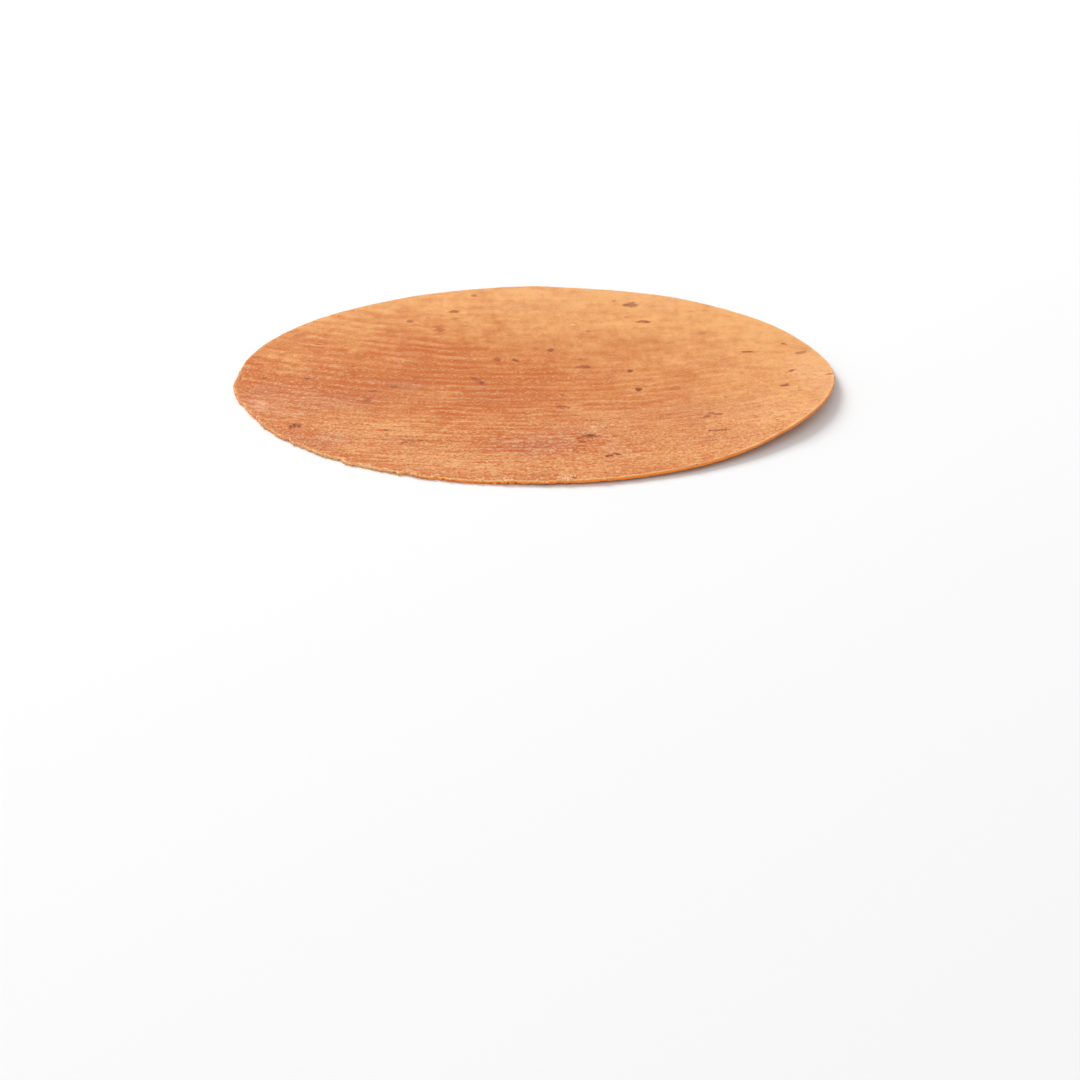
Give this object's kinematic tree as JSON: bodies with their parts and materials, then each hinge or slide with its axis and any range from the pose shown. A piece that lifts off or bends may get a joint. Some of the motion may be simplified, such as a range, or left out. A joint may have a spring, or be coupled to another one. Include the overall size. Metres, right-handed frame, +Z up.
{
  "type": "khakhra",
  "caption": "Thin, crisp, round roasted flatbread with a gently waved rim, a ragged edge and leaf flakes rolled into its top.",
  "frame": {"origin": "under the middle of the bread, at the level of what it lies on", "axes": "+Z up through the thin sheet, +X to the right and +Y away from the viewer as in the picture; the broken-out piece is at the front left, and the rim rises most at the right front"},
  "size_m": [0.1812, 0.1806, 0.0045],
  "materials": {
    "roasted_dough": null
  },
  "bodies": {
    "root": {"khakhra": "roasted_dough"}
  },
  "joints": []
}
